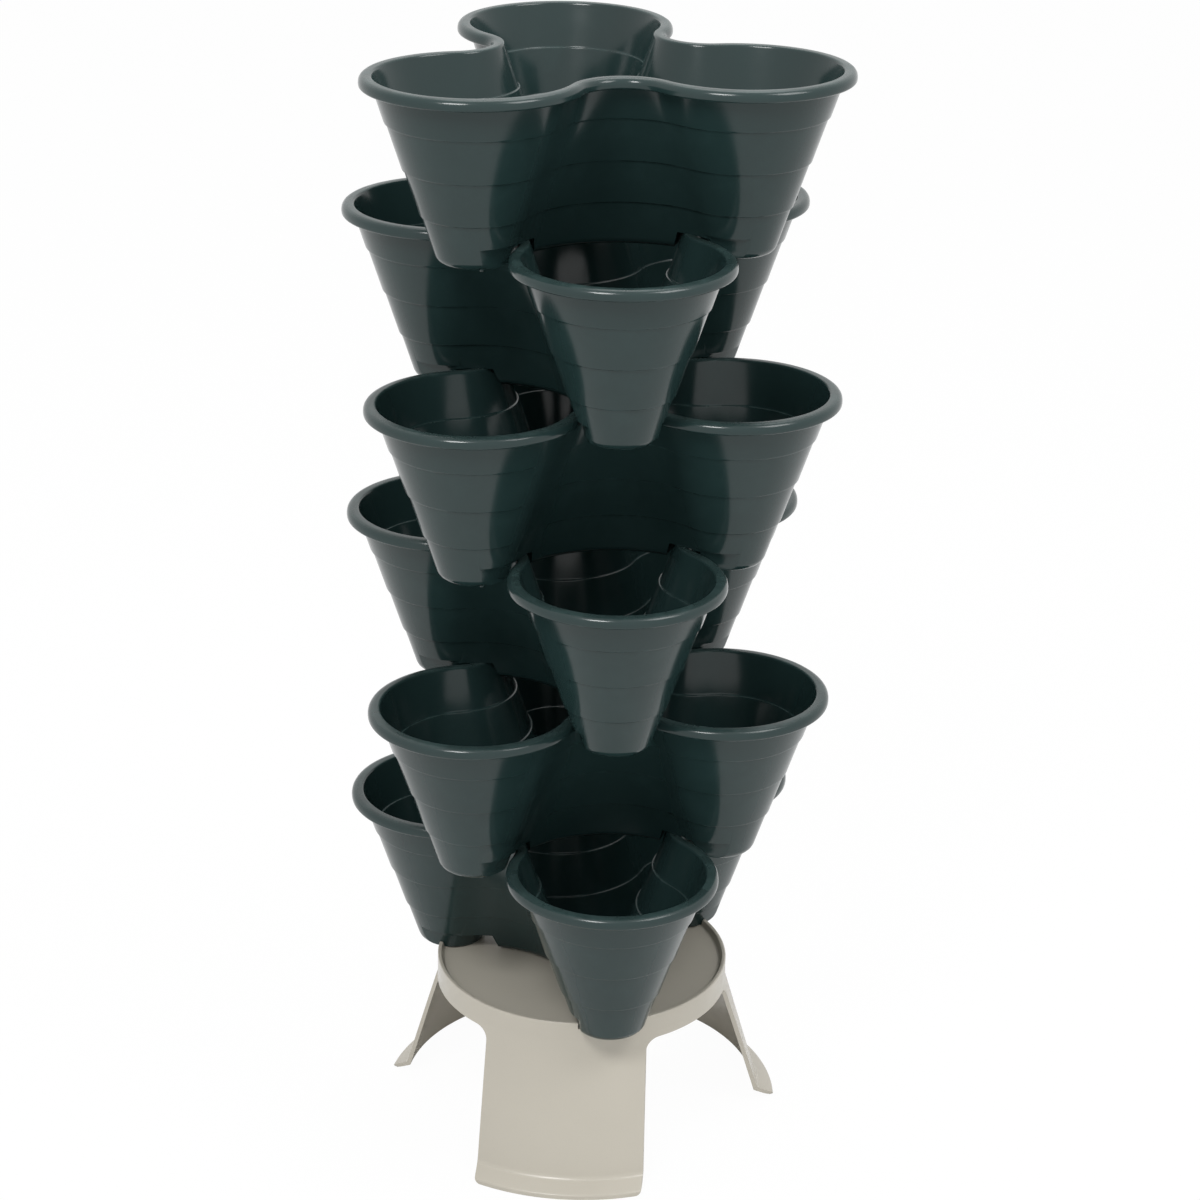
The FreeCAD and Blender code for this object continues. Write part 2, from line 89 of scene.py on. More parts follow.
def rounded_profile(corners: Array, arc_steps: int = 4, margin: float = 0.0008) -> Array:
    """An open profile through corners, each of which is rounded by an arc.

    With h as half the angle between a corner's two lines and r as its radius, the arc touches the
    lines at r / tan(h) from the corner, and its centre lies r / sin(h) along the bisector. A point
    of the arc is the centre plus (sin((1 - t) w) s + sin(t w) e) / sin(w), where s and e lead from
    the centre to the arc's ends, w is the angle between them and t runs from 0 to 1. Each line
    gets a point near each of its ends, which keeps smooth shading level between them.

    Args:
        corners: one row per corner, with its two coordinates and its radius.
        arc_steps: the number of pieces that each arc is divided into.
        margin: how far the extra points on a line lie from its ends.

    Returns:
        The profile's points, one per row, with the first and last corner as its ends.
    """
    places, radii = corners[:, :2], corners[1:-1, 2]
    back = unit(places[:-2] - places[1:-1])
    ahead = unit(places[2:] - places[1:-1])
    half = 0.5 * np.arccos(np.sum(back * ahead, axis=1))
    reach = (radii / np.tan(half))[:, None]
    entry = places[1:-1] + back * reach
    leave = places[1:-1] + ahead * reach
    centre = places[1:-1] + unit(back + ahead) * (radii / np.sin(half))[:, None]
    sweep = (np.pi - 2 * half)[:, None, None]
    share = np.linspace(0, 1, arc_steps + 1)[None, :, None]
    start, end = (entry - centre)[:, None], (leave - centre)[:, None]
    arcs = (np.sin((1 - share) * sweep) * start + np.sin(share * sweep) * end) / np.sin(sweep)
    arcs = arcs + centre[:, None]
    line_start = np.vstack([places[:1], leave])
    line_end = np.vstack([entry, places[-1:]])
    run = line_end - line_start
    length = np.linalg.norm(run, axis=1, keepdims=True)
    inset = run / length * np.minimum(margin, length / 3)
    after, before = line_start + inset, line_end - inset
    blocks = np.concatenate([before[:-1, None], arcs, after[1:, None]], axis=1).reshape(-1, 2)
    return np.vstack([places[:1], after[:1], blocks, before[-1:], places[-1:]])


def ring_mesh(name: str, grid: Array, lids: bool = True) -> Mesh:
    """A closed mesh over a grid of rings.

    Face (i, j) joins points (i, j), (i, j + 1), (i + 1, j + 1) and (i + 1, j), with j counted
    round the ring. Rings that run anticlockwise, one above the other, give faces that point out.

    Args:
        name: the mesh's name.
        grid: points with the shape (rings, points per ring, 3).
        lids: closes the first and last ring with flat faces; otherwise the last ring joins the first.

    Returns:
        The mesh.
    """
    rings, around = grid.shape[:2]
    index = np.arange(rings * around).reshape(rings, around)
    lower, upper = (index[:-1], index[1:]) if lids else (index, np.roll(index, -1, axis=0))
    sides = np.stack([lower, np.roll(lower, -1, 1), np.roll(upper, -1, 1), upper], axis=-1)
    faces = sides.reshape(-1, 4).tolist()
    if lids:
        faces += [index[0, ::-1].tolist(), index[-1].tolist()]
    mesh = bpy.data.meshes.new(name)
    mesh.from_pydata(grid.reshape(-1, 3), [], faces)
    return mesh


def at_heights(rings: Array, heights: Array) -> Array:
    """Rings of points in x and y, each lifted to its own height.

    Args:
        rings: points with the shape (rings, points per ring, 2).
        heights: one height per ring.

    Returns:
        Points with the shape (rings, points per ring, 3).
    """
    lifted = np.broadcast_to(heights[:, None, None], (*rings.shape[:2], 1))
    return np.concatenate([rings, lifted], axis=-1)


def turned_grid(profile: Array, around: int, centre: tuple[float, float] = (0.0, 0.0)) -> Array:
    """A profile turned about an upright axis: (x + r cos a, y + r sin a, z).

    Args:
        profile: rows of radius and height.
        around: the number of points round each ring.
        centre: where the axis stands, as x and y.

    Returns:
        Points with the shape (rows of the profile, around, 3).
    """
    spokes = directions(np.arange(around) * 360.0 / around)
    return at_heights(profile[:, None, :1] * spokes[None] + np.asarray(centre), profile[:, 1])


def side_prism(name: str, outline: Array, half_width: float) -> Mesh:
    """A side view in x and z, carried from y = +half_width to y = -half_width.

    Args:
        name: the mesh's name.
        outline: the closed side view, anticlockwise with x to the right and z up.
        half_width: half of the prism's width along y.

    Returns:
        The mesh.
    """
    ends = np.array([half_width, -half_width])
    grid = np.empty((2, len(outline), 3))
    grid[..., 0], grid[..., 2] = outline[None, :, 0], outline[None, :, 1]
    grid[..., 1] = ends[:, None]
    return ring_mesh(name, grid)


def points_of(mesh: Mesh) -> Array:
    """The places of a mesh's points.

    Args:
        mesh: the mesh.

    Returns:
        Its points, as rows of x, y and z.
    """
    places = np.empty(3 * len(mesh.vertices))
    mesh.vertices.foreach_get("co", places)
    return places.reshape(-1, 3)


def merged(name: str, meshes: list[Mesh]) -> Mesh:
    """One mesh that holds several separate ones, which are removed.

    Args:
        name: the new mesh's name.
        meshes: the meshes to put together.

    Returns:
        The new mesh.
    """
    points: list[Array] = []
    faces: list[list[int]] = []
    count = 0
    for mesh in meshes:
        points.append(points_of(mesh))
        faces += [[count + corner for corner in face.vertices] for face in mesh.polygons]
        count += len(mesh.vertices)
        bpy.data.meshes.remove(mesh)
    whole = bpy.data.meshes.new(name)
    whole.from_pydata(np.vstack(points), [], faces)
    return whole


def turned_copies(mesh: Mesh, angles: Array) -> Mesh:
    """Repeats a mesh about the Z axis.

    Args:
        mesh: the mesh to repeat, which is removed.
        angles: one turn in degrees for each copy.

    Returns:
        The new mesh.
    """
    copies = []
    for angle in angles:
        copy = mesh.copy()
        copy.transform(Matrix.Rotation(np.radians(angle), 4, "Z"))
        copies.append(copy)
    name = mesh.name
    bpy.data.meshes.remove(mesh)
    return merged(name, copies)


def weld(mesh: Mesh, distance: float = 0.000004) -> None:
    """Joins points of a mesh that lie almost at one place.

    Args:
        mesh: the mesh.
        distance: points that lie closer to each other than this are joined.
    """
    whole = bmesh.new()
    whole.from_mesh(mesh)
    bmesh.ops.remove_doubles(whole, verts=whole.verts, dist=distance)
    whole.to_mesh(mesh)
    whole.free()


def combine(base: Mesh, tool: Mesh, way: Way) -> Mesh:
    """Combines two closed meshes and removes them.

    Args:
        base: the mesh that is changed.
        tool: the mesh that is joined to it, taken away from it or laid over it.
        way: how they are combined.

    Returns:
        The new mesh.
    """
    holder = bpy.data.objects.new("base", base)
    other = bpy.data.objects.new("tool", tool)
    for item in (holder, other):
        bpy.context.scene.collection.objects.link(item)
    modifier = holder.modifiers.new("combine", "BOOLEAN")
    modifier.object, modifier.operation, modifier.solver = other, way.value, "EXACT"
    evaluated = holder.evaluated_get(bpy.context.evaluated_depsgraph_get())
    result = bpy.data.meshes.new_from_object(evaluated)
    for item, mesh in ((holder, base), (other, tool)):
        bpy.data.objects.remove(item)
        bpy.data.meshes.remove(mesh)
    weld(result)
    return result


def mark_edges(mesh: Mesh, levels: list[float], reach: float) -> None:
    """Stores how near each point is to some heights, from 0 to 1, as edge.

    The value is 1 - |z - level| / reach for the nearest level, and not below 0.

    Args:
        mesh: the mesh.
        levels: the heights of its edges.
        reach: how far from a level the value falls to 0.
    """
    apart = np.abs(points_of(mesh)[:, 2:] - np.array(levels)[None]).min(axis=1)
    near = mesh.attributes.new("edge", "FLOAT", "POINT")
    near.data.foreach_set("value", np.clip(1.0 - apart / reach, 0.0, 1.0))


def dress(mesh: Mesh, material: bpy.types.Material, sharp_angle: float = 34.0) -> None:
    """Gives a mesh its material and shades it smooth.

    Args:
        mesh: the mesh.
        material: its only material.
        sharp_angle: edges where faces meet at more than this angle in degrees stay hard.
    """
    mesh.shade_smooth()
    mesh.set_sharp_from_angle(angle=np.radians(sharp_angle))
    mesh.materials.clear()
    mesh.materials.append(material)


def place_piece(name: str, mesh: Mesh, body: str, node: str) -> Piece:
    """Puts a finished mesh into the scene in place of a node of the frame.

    Args:
        name: the piece's name.
        mesh: its mesh, already at its place.
        body: the body that it moves with.
        node: the node that it stands for.

    Returns:
        The new object.
    """
    mesh.name = name
    piece = bpy.data.objects.new(name, mesh)
    bpy.context.scene.collection.objects.link(piece)
    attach(piece, body)
    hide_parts(node)
    log.info("%s: %d faces on %s", name, len(mesh.polygons), body)
    return piece


@dataclass
class TrefoilPot:
    """A stacking pot: three cups round a hub, with a lip, four bands, saddles, drains and nubs.

    The pot is made with its base at z = 0 and its first cup along +X. A reach is a distance from
    the axis. The lip is hollow underneath: lip_round and mouth_round are the roundings of its top,
    outside and inside, lip_edge that of its lower edge, and lip_under that of the hollow. Each band
    stands out over the one below by a step, with ledge_round on its lower edge and step_round in
    the corner behind it. The feet have flat sides, foot_half from the arm's line at the base,
    that lean out by foot_lean and end under a shelf at foot_shelf.
    """

    cup_reach: float = 0.110
    rim_radius: float = 0.080
    valley_reach: float = 0.080
    base_radius: float = 0.0263
    pot_height: float = 0.133
    lip_depth: float = 0.008
    lip_overhang: float = 0.0092
    lip_wall: float = 0.0025
    lip_round: float = 0.0045
    mouth_round: float = 0.0020
    lip_edge: float = 0.0018
    lip_under: float = 0.0008
    band_bottoms: tuple[float, ...] = (0.1005, 0.0675, 0.0345)
    step: float = 0.0012
    ledge_round: float = 0.00095
    step_round: float = 0.0003
    wall: float = 0.0025
    floor: float = 0.003
    base_round: float = 0.008
    inside_round: float = 0.006
    saddle_height: float = 0.014
    saddle_play: float = 0.001
    saddle_draft: float = 18.0
    saddle_edge: float = 0.0025
    seat_round: float = 0.001
    raised_round: float = 0.002
    foot_half: float = 0.0237
    foot_lean: float = 0.18
    foot_shelf: float = 0.0168
    shelf_round: float = 0.0012
    drains: int = 6
    drain_radius: float = 0.003
    drain_circle: float = 0.014
    nub_radius: float = 0.0018
    nub_drop: float = 0.0025
    nub_reach: float = 0.007
    nub_offset: float = 0.017
    rub_reach: float = 0.0012
    cup_steps: int = 60
    valley_steps: int = 24

    @property
    def lip_bottom(self) -> float:
        """Height of the lip's lower edge over the base."""
        return self.pot_height - self.lip_depth

    @property
    def hub_reach(self) -> float:
        """How far the inside of the mouth lies from the axis, in a valley."""
        return self.valley_reach - self.inset(self.pot_height, 0) - self.wall

    def lip_line(self) -> tuple[Array, Array]:
        """The lip's outline, seen from above, and its normals.

        A cup is an arc round its centre C, with points C + R n for normals n of -120 to 120 degrees
        from the cup's own direction. A valley is a hollow arc round V, with points V - r n. The two
        run into each other where the line from C to V crosses both.

        Returns:
            The points and the outward unit normals, one row for each step round the pot.
        """
        reach, valley, rim = self.cup_reach, self.valley_reach, self.rim_radius
        hollow = (valley**2 - valley * reach + reach**2 - rim**2) / (2 * rim - 2 * valley + reach)
        corner = (valley + hollow) * directions([HALF_THIRD])[0] - reach * directions([0.0])[0]
        span = np.degrees(np.arctan2(corner[1], corner[0]))
        cup_turn = np.linspace(-span, span, self.cup_steps, endpoint=False)
        valley_turn = np.linspace(span, 2 * HALF_THIRD - span, self.valley_steps, endpoint=False)
        points, normals = [], []
        for angle in THIRDS:
            normal = directions(angle + cup_turn)
            points.append(reach * directions([angle]) + rim * normal)
            normals.append(normal)
            normal = directions(angle + valley_turn)
            points.append((valley + hollow) * directions([angle + HALF_THIRD]) - hollow * normal)
            normals.append(normal)
        return np.vstack(points), np.vstack(normals)

    def inset(self, height: float, band: int) -> float:
        """How far a band's outside lies inside the lip's outline at a height.

        Args:
            height: the height over the base.
            band: the band's number, counted down from 0 under the lip.

        Returns:
            The distance.
        """
        lowest = len(self.band_bottoms)
        lean = self.rim_radius - self.lip_overhang - lowest * self.step - self.base_radius
        radius = self.base_radius + height * lean / self.lip_bottom + (lowest - band) * self.step
        return self.rim_radius - radius

    def bands(self, thickness: float, floor: float, floor_round: float) -> list[list[float]]:
        """The side of the pot below the lip, from a floor up, as corners of a profile.

        Args:
            thickness: how far the side is drawn in.
            floor: height of the floor that the side starts from.
            floor_round: rounding between the floor and the side.

        Returns:
            Rows of inset, height and rounding.
        """
        lowest = len(self.band_bottoms)
        corners = [[self.inset(floor, lowest) + thickness, floor, floor_round]]
        for band in range(lowest - 1, -1, -1):
            level = self.band_bottoms[band]
            for above, rounding in ((band + 1, self.step_round), (band, self.ledge_round)):
                corners.append([self.inset(level, above) + thickness, level, rounding])
        return corners

    def side_profile(self) -> Array:
        """The whole wall as one profile: up the outside, over the hollow lip and down the inside.

        Returns:
            Rows of inset and height.
        """
        outside = self.bands(0.0, 0.0, self.base_round)
        inside = self.bands(self.wall, self.floor, self.inside_round)
        ceiling = self.pot_height - self.lip_wall
        lip = [
            [self.inset(ceiling, 0), ceiling, self.lip_under],
            [self.lip_wall, ceiling, self.lip_under],
            [self.lip_wall, self.lip_bottom, 0.25 * self.lip_under],
            [0.0, self.lip_bottom, self.lip_edge],
            [0.0, self.pot_height, self.lip_round],
            [self.inset(self.pot_height, 0) + self.wall, self.pot_height, self.mouth_round],
        ]
        start = [outside[0][0] + self.base_round, 0.0, 0.0]
        end = [inside[0][0] + self.inside_round, self.floor, 0.0]
        return rounded_profile(np.array([start, *outside, *lip, *inside[::-1], end]))

    def lip_grid(self, profile: Array) -> Array:
        """The lip's outline at each row of a profile: point (i, j) is point j moved in by inset i.

        Args:
            profile: rows of inset and height.

        Returns:
            Points with the shape (rows of the profile, points of the outline, 3).
        """
        points, normals = self.lip_line()
        return at_heights(points[None] - profile[:, None, :1] * normals[None], profile[:, 1])

    def shell(self) -> Mesh:
        """The hollow pot, without its saddles."""
        return ring_mesh("shell", self.lip_grid(self.side_profile()))

    def saddle_room(self, name: str, profile: Array) -> Mesh:
        """Room for the lip of the pot below: inside that lip's outline and outside the hub.

        The outline is the lip's own, half a cup's angle round, and moved out by the profile's
        spread. The hub's three flat ends cross the arms, and the same spread moves them in.

        Args:
            name: the mesh's name.
            profile: rows of spread and height, upwards.

        Returns:
            The mesh.
        """
        outside = ring_mesh(name, self.lip_grid(profile * np.array([-1.0, 1.0])))
        outside.transform(Matrix.Rotation(np.radians(HALF_THIRD), 4, "Z"))
        beyond = 0.001
        rows = np.vstack([profile[:1], profile, profile[-1:]])
        rows[0, 1] -= beyond
        rows[-1, 1] += beyond
        reach = (self.hub_reach - rows[:, 0]) / np.cos(np.radians(HALF_THIRD))
        corners = reach[:, None, None] * directions(THIRDS + HALF_THIRD)[None]
        return combine(outside, ring_mesh("hub", at_heights(corners, rows[:, 1])), Way.TAKE_AWAY)

    def saddle_spread(self, height: float) -> float:
        """How far a saddle's sides stand off from the lip of the pot below, at a height."""
        slant = np.tan(np.radians(self.saddle_draft))
        return self.saddle_play + (self.saddle_height - height) * slant

    def saddles(self) -> Mesh:
        """The three saddles, which open out in a rounding at the base.

        Returns:
            The room to take away.
        """
        below, flat, tiny = 0.00005, 0.003, 0.0001
        base, seat = self.saddle_spread(0.0), self.saddle_spread(self.saddle_height)
        widest = base + self.saddle_edge + flat
        return self.saddle_room("saddles", rounded_profile(np.array([
            [widest, -flat, 0.0],
            [widest, -below, tiny],
            [base, -below, self.saddle_edge],
            [seat, self.saddle_height, self.seat_round],
            [seat - flat, self.saddle_height, 0.0],
        ])))

    def foot_flats(self, name: str, indent: float, low: float, high: float) -> Mesh:
        """Blocks outside the feet's flat sides, which lie at half + lean * z from the arm's line.

        Args:
            name: the mesh's name.
            indent: how far the flats are moved in.
            low: height of the blocks' undersides.
            high: height of the blocks' tops.

        Returns:
            The six blocks, one on each side of each foot, as one mesh.
        """
        depth, half_length, past_cup, tiny = 0.020, 0.028, 0.003, 0.0001
        levels = np.array([low, 0.5 * (low + high), high])
        near, middle, far = self.foot_half - indent + self.foot_lean * levels
        outer = self.foot_half + depth
        block = side_prism(name, rounded_profile(np.array([
            [near, low, 0.0],
            [outer, low, tiny],
            [outer, high, tiny],
            [far, high, self.shelf_round],
            [middle, levels[1], 0.0],
        ])), half_length)
        pair = turned_copies(block, np.array([90.0, -90.0]))
        pair.transform(Matrix.Translation((self.cup_reach + past_cup, 0, 0)))
        return turned_copies(pair, THIRDS)

    def raised_floors(self) -> Mesh:
        """The blocks over the saddles and behind the feet's flats, which end inside the walls.

        Returns:
            The blocks as one mesh.
        """
        lowest = len(self.band_bottoms)
        top, low, flat = self.saddle_height + self.floor, 0.25 * self.floor, 0.004
        shelf = self.foot_shelf + self.wall
        crown = max(top, shelf) + low
        rounding = 0.5 * (self.base_round + self.inside_round)
        foot, head = (self.inset(level, lowest) + 0.5 * self.wall for level in (2 * low, crown))
        inside = ring_mesh("inside", self.lip_grid(rounded_profile(np.array([
            [foot + rounding, 2 * low, 0.0], [foot, 2 * low, rounding], [head, crown, 0.0],
        ]))))
        cover = self.saddle_spread(top) + self.wall
        blocks = self.saddle_room("raised", rounded_profile(np.array([
            [self.saddle_spread(low) + self.wall, low, 0.0],
            [cover, top, self.raised_round],
            [cover - flat, top, 0.0],
        ])))
        blocks = combine(blocks, self.foot_flats("flats_inside", self.wall, low, shelf), Way.JOIN)
        return combine(inside, blocks, Way.KEEP_COMMON)

    def pegs(
        self, name: str, centres: Array, radius: float, low: float, high: float, rounding: float
    ) -> Mesh:
        """Upright pegs with a rounded lower end.

        Args:
            name: the mesh's name.
            centres: rows of x and y.
            radius: the pegs' radius.
            low: height of their lower ends.
            high: height of their upper ends.
            rounding: rounding of the lower ends.

        Returns:
            All the pegs as one mesh.
        """
        tip, around = 0.5 * (radius - rounding), 24
        side = rounded_profile(np.array([[tip, low, 0], [radius, low, rounding], [radius, high, 0]]))
        pegs = [ring_mesh(name, turned_grid(side, around, tuple(centre))) for centre in centres]
        return merged(name, pegs)

    def drain_cuts(self) -> Mesh:
        """The pegs that cut the drain holes through the hub's floor.

        Returns:
            The pegs as one mesh.
        """
        spread = (np.arange(self.drains) + 0.5) * 360.0 / self.drains
        centres = self.drain_circle * directions(spread)
        tiny = 0.0001
        return self.pegs("drains", centres, self.drain_radius, -self.floor, 2 * self.floor, tiny)

    def nubs(self) -> Mesh:
        """The drip nubs under the cups' feet.

        Returns:
            The nubs as one mesh.
        """
        along = self.cup_reach + self.nub_reach
        centres = along * directions(THIRDS) + self.nub_offset * directions(THIRDS + 90.0)
        radius = self.nub_radius
        return self.pegs("nubs", centres, radius, -self.nub_drop, 0.5 * self.floor, 0.5 * radius)

    def mesh(self) -> Mesh:
        """Makes the whole pot.

        Returns:
            The mesh, with its base at z = 0 and its first cup along +X.
        """
        pot = combine(self.shell(), self.raised_floors(), Way.JOIN)
        pot = combine(pot, self.saddles(), Way.TAKE_AWAY)
        pot = combine(pot, self.foot_flats("flats", 0.0, -self.floor, self.foot_shelf), Way.TAKE_AWAY)
        pot = combine(pot, self.drain_cuts(), Way.TAKE_AWAY)
        pot = combine(pot, self.nubs(), Way.JOIN)
        mark_edges(pot, [0.0, *self.band_bottoms, self.lip_bottom, self.pot_height], self.rub_reach)
        return pot


@dataclass
class LegStand:
    """A disc with a shallow recess and a band round it, on three legs that flare out to kicked feet.

    The stand is made with its first leg along +X. Its rim has a notch for each foot of the pot on it:
    part of a circle of notch_radius, cut flat at notch_half on both sides.
    """

    height: float = 0.131
    disc_radius: float = 0.115
    recess: float = 0.005
    disc_rim: float = 0.003
    rim_slope: float = 0.002
    rim_round: float = 0.001
    plate: float = 0.003
    band: float = 0.020
    rib_depth: float = 0.009
    rib_width: float = 0.0025
    rib_ring: float = 0.062
    ribs: int = 6
    skin: float = 0.003
    leg_lean: float = 0.0294
    leg_bend: float = 0.040
    foot_height: float = 0.011
    foot_kick: float = 0.013
    foot_lip: float = 0.0035
    foot_bend: float = 0.006
    leg_width: float = 0.124
    foot_width: float = 0.130
    leg_corner: float = 0.009
    foot_corner: float = 0.005
    notch_reach: float = 0.110
    notch_radius: float = 0.0289
    notch_half: float = 0.0250
    notch_turn: float = 18.0
    rub_reach: float = 0.002
    around: int = 240

    @property
    def band_bottom(self) -> float:
        """Height of the band's lower edge."""
        return self.height - self.band

    @property
    def plate_top(self) -> float:
        """Height of the recess's floor."""
        return self.height - self.recess

    @property
    def plate_bottom(self) -> float:
        """Height of the plate's underside."""
        return self.plate_top - self.plate

    @property
    def foot_radius(self) -> float:
        """Distance from the axis to the outside of the feet."""
        return self.disc_radius + self.leg_lean + self.foot_kick

    def skirt(self) -> Mesh:
        """The disc, the band and an unbroken flared skirt: one profile turned about the axis.

        Returns:
            The mesh.
        """
        inner = self.disc_radius - self.skin
        tiny = 0.0003
        corners = np.array([
            [0.5 * inner, self.plate_bottom, 0.0],
            [inner, self.plate_bottom, 2 * tiny],
            [inner, self.band_bottom, self.leg_bend + self.skin],
            [inner + self.leg_lean, self.foot_height - 0.5 * self.skin, tiny],
            [self.foot_radius - self.skin, 0.5 * self.foot_lip, tiny],
            [self.foot_radius - self.skin, 0.0, tiny],
            [self.foot_radius, 0.0, tiny],
            [self.foot_radius, self.foot_lip, 0.5 * self.foot_lip],
            [self.disc_radius + self.leg_lean, self.foot_height, self.foot_bend],
            [self.disc_radius, self.band_bottom, self.leg_bend],
            [self.disc_radius, self.height, self.rim_round],
            [self.disc_radius - self.disc_rim, self.height, self.rim_round],
            [self.disc_radius - self.disc_rim - self.rim_slope, self.plate_top, self.rim_slope],
            [0.5 * inner, self.plate_top, 0.0],
        ])
        return ring_mesh("skirt", turned_grid(rounded_profile(corners, arc_steps=6), self.around))

    def leg_limits(self) -> Mesh:
        """What stays of the skirt: the whole band, and under it a leg at each third of a turn.

        Returns:
            The room that the stand may fill.
        """
        half_leg, half_foot = 0.5 * self.leg_width, 0.5 * self.foot_width
        side, top, tiny = self.foot_radius, self.height + self.skin, 0.0001
        corners = np.array([
            [0.0, -tiny, 0.0],
            [half_foot, -tiny, self.foot_corner],
            [half_leg, self.band_bottom, self.leg_corner],
            [side, self.band_bottom, tiny],
            [side, top, tiny],
            [-side, top, tiny],
            [-side, self.band_bottom, tiny],
            [-half_leg, self.band_bottom, self.leg_corner],
            [-half_foot, -tiny, self.foot_corner],
            [-tiny, -tiny, 0.0],
        ])
        outline = rounded_profile(corners, arc_steps=8)
        reach = 0.5 * (self.foot_radius + self.skin)
        limits = None
        for angle in THIRDS:
            front = side_prism("leg", outline, reach)
            front.transform(Matrix.Rotation(np.radians(angle), 4, "Z")
                            @ Matrix.Translation((reach, 0, 0))
                            @ Matrix.Rotation(np.radians(90.0), 4, "Z"))
            limits = front if limits is None else combine(limits, front, Way.JOIN)
        return limits

    def rib_set(self) -> Mesh:
        """The ring rib and the straight ribs under the plate, which reach into the plate.

        Returns:
            The ribs as one mesh.
        """
        low, high = self.plate_bottom - self.rib_depth, self.plate_bottom + 0.5 * self.plate
        half = 0.5 * self.rib_width
        near, far = self.rib_ring - half, self.rib_ring + half
        section = np.array([[near, low], [far, low], [far, high], [near, high]])
        ribs = ring_mesh("ribs", turned_grid(section, self.around), lids=False)
        length = self.disc_radius - 0.5 * self.skin
        box = np.array([[0.0, low], [length, low], [length, high], [0.0, high]])
        # Each straight rib lies a little higher than the last, so that no two faces coincide.
        apart = 0.00002
        for number in range(self.ribs):
            rib = side_prism("rib", box, half)
            turn = Matrix.Rotation(np.radians(number * 360.0 / self.ribs), 4, "Z")
            rib.transform(turn @ Matrix.Translation((0, 0, apart * (number + 1))))
            ribs = combine(ribs, rib, Way.JOIN)
        return ribs

    def notches(self) -> Mesh:
        """The upright pegs, flat on two sides, that cut the notches down to just over the plate.

        Returns:
            The pegs as one mesh.
        """
        above_plate, around = 0.00005, 96
        low, high = self.plate_top + above_plate, self.height + self.recess
        radius, half = self.notch_radius, self.notch_half
        round_peg = ring_mesh("notch", turned_grid(np.array([[radius, low], [radius, high]]), around))
        across = np.array([[-half, 0.0], [half, 0.0], [half, 2 * high], [-half, 2 * high]])
        slab = side_prism("slab", across, 2 * radius)
        slab.transform(Matrix.Rotation(np.radians(90.0), 4, "Z"))
        peg = combine(round_peg, slab, Way.KEEP_COMMON)
        peg.transform(Matrix.Translation((self.notch_reach, 0, 0)))
        return turned_copies(peg, THIRDS + self.notch_turn)

    def mesh(self) -> Mesh:
        """Makes the whole stand.

        Returns:
            The mesh, with its first leg along +X.
        """
        stand = combine(self.skirt(), self.leg_limits(), Way.KEEP_COMMON)
        stand = combine(stand, self.rib_set(), Way.JOIN)
        stand = combine(stand, self.notches(), Way.TAKE_AWAY)
        mark_edges(stand, [0.0, self.height], self.rub_reach)
        return stand


def add_node(tree: Tree, kind: str, feeds: dict | None = None, **settings: object) -> bpy.types.Node:
    """Adds a node to a tree.

    Args:
        tree: the tree that takes the node.
        kind: the node's type.
        feeds: for each input's name or number, its value or the output that is linked to it.
        settings: the node's own properties.

    Returns:
        The node.
    """
    node = tree.nodes.new(kind)
    for key, setting in settings.items():
        setattr(node, key, setting)
    for key, source in (feeds or {}).items():
        if isinstance(source, Socket):
            tree.links.new(source, node.inputs[key])
        else:
            node.inputs[key].default_value = source
    return node


def noise(
    tree: Tree, place: Socket, scale: Socket | float, detail: float, roughness: float
) -> Socket:
    """Smooth random values from 0 to 1 over a piece, with a scale in cycles per metre."""
    feeds = {"Vector": place, "Scale": scale, "Detail": detail, "Roughness": roughness}
    return add_node(tree, "ShaderNodeTexNoise", feeds).outputs["Fac"]


def soft_step(tree: Tree, value: Socket, low: float, high: float) -> Socket:
    """A smooth step of a value.

    Args:
        tree: the tree that takes the node.
        value: the output that is stepped.
        low: where the rise starts.
        high: where it ends.

    Returns:
        The output, which is 0 below the rise and 1 over it.
    """
    feeds = {"Value": value, "From Min": low, "From Max": high}
    step = add_node(tree, "ShaderNodeMapRange", feeds, interpolation_type="SMOOTHSTEP")
    return step.outputs["Result"]


def reckon(tree: Tree, operation: str, *values: Socket | float) -> Socket:
    """The result of one arithmetic step on values or outputs."""
    return add_node(tree, "ShaderNodeMath", dict(enumerate(values)), operation=operation).outputs[0]


def start_group(
    name: str, takes: dict[str, str], gives: dict[str, str]
) -> tuple[Tree, dict[str, Socket], bpy.types.Node]:
    """Starts a shader node group.

    Args:
        name: the group's name.
        takes: the type of each input, by its name.
        gives: the type of each output, by its name.

    Returns:
        The group's tree, its inputs as sockets by name, and its output node.
    """
    tree = bpy.data.node_groups.new(name, "ShaderNodeTree")
    for sockets, side in ((takes, "INPUT"), (gives, "OUTPUT")):
        for label, kind in sockets.items():
            tree.interface.new_socket(label, in_out=side, socket_type=f"NodeSocket{kind}")
    entry = tree.nodes.new("NodeGroupInput")
    return tree, {label: entry.outputs[label] for label in takes}, tree.nodes.new("NodeGroupOutput")


def moulded_relief() -> Tree:
    """Height of a moulded surface: slow waves from the cooling plastic, with a fine grain on them.

    Returns:
        The group.
    """
    tree, given, result = start_group(
        "moulded_relief",
        {"Place": "Vector", "Wave Scale": "Float", "Grain Scale": "Float", "Grain Share": "Float"},
        {"Height": "Float"},
    )
    wave = noise(tree, given["Place"], given["Wave Scale"], detail=1.0, roughness=0.4)
    grain = noise(tree, given["Place"], given["Grain Scale"], detail=2.0, roughness=0.6)
    blend = add_node(tree, "ShaderNodeMix", {"Factor": given["Grain Share"], "A": wave, "B": grain},
                     data_type="FLOAT")
    tree.links.new(blend.outputs["Result"], result.inputs["Height"])
    return tree


